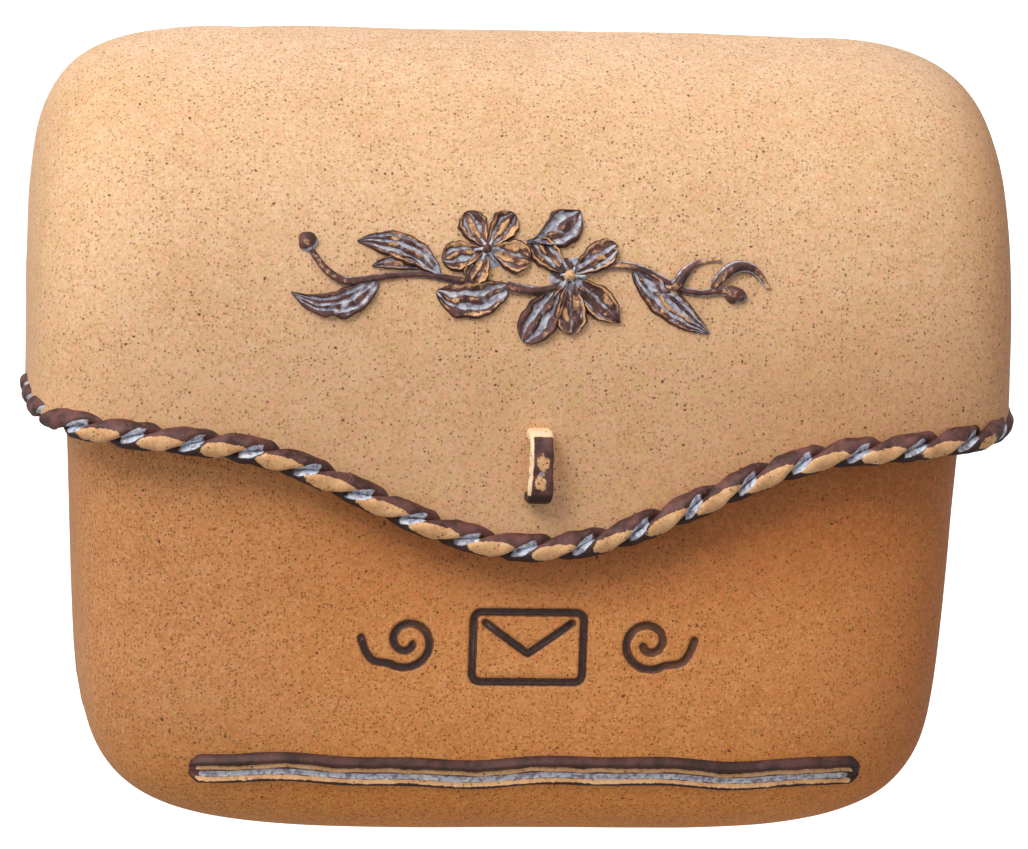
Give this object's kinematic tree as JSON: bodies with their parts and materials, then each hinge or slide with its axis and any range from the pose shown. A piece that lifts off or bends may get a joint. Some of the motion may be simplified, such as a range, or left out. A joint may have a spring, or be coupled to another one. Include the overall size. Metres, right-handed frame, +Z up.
{
  "type": "wall-mounted mailbox",
  "caption": "Wall-mounted stoneware mailbox: a bellied letter pocket on a flat back slab under a hinged hood whose wavy flap is edged with twisted rope and lifts by a strap loop.",
  "frame": {"origin": "on the wall face of the back slab, midway between the two screw holes", "axes": "+Z up; +Y into the wall, so the front faces -Y; +X along the width, to the right as seen from the front"},
  "size_m": [0.3803, 0.125, 0.309],
  "materials": {
    "clay_body": "matte speckled ochre stoneware, slightly gritty",
    "clay_lid": "matte speckled ochre stoneware, slightly gritty",
    "stained_clay": "dark brown iron oxide rubbed off the high places, grey-blue glaze in the hollows",
    "dark_slip": "matte dark brown slip",
    "steel": "plain stainless",
    "rubber": "matte",
    "nylon": "matte"
  },
  "bodies": {
    "mailbox_body": {"back_slab": "clay_body", "body_pocket": "clay_body", "hinge_lug_left": "clay_body", "hinge_lug_right": "clay_body", "hinge_pin_left": "steel", "hinge_pin_right": "steel", "pin_caps": "steel", "wall_washers": "rubber", "lid_buffers": "rubber", "base_band": "stained_clay", "slip_envelope": "dark_slip", "slip_scroll_left": "dark_slip", "slip_scroll_right": "dark_slip"},
    "lid": {"lid_hood": "clay_lid", "rear_roll": "clay_lid", "roll_end_left": "clay_lid", "roll_end_right": "clay_lid", "lid_lug_left_outer": "clay_lid", "lid_lug_left_inner": "clay_lid", "lid_lug_right_inner": "clay_lid", "lid_lug_right_outer": "clay_lid", "bush_left_outer": "nylon", "bush_left_inner": "nylon", "bush_right_inner": "nylon", "bush_right_outer": "nylon", "rope_strand_a": "stained_clay", "rope_strand_b": "stained_clay", "pull_loop": "stained_clay", "stem_left": "stained_clay", "stem_right": "stained_clay", "bud_left": "stained_clay", "bud_right": "stained_clay", "leaf_left_lower": "stained_clay", "leaf_left_upper": "stained_clay", "leaf_under": "stained_clay", "leaf_top": "stained_clay", "leaf_right": "stained_clay", "curl_upper": "stained_clay", "curl_end": "stained_clay", "flower_left": "stained_clay", "flower_left_eye": "stained_clay", "flower_right": "stained_clay", "flower_right_eye": "stained_clay"}
  },
  "joints": [
    {"name": "lid_hinge", "type": "hinge", "parent": "mailbox_body", "child": "lid", "pos_m": [0, -0.0275, 0.0515], "axis": [-1, 0, 0], "range_deg": [0, 110]}
  ]
}
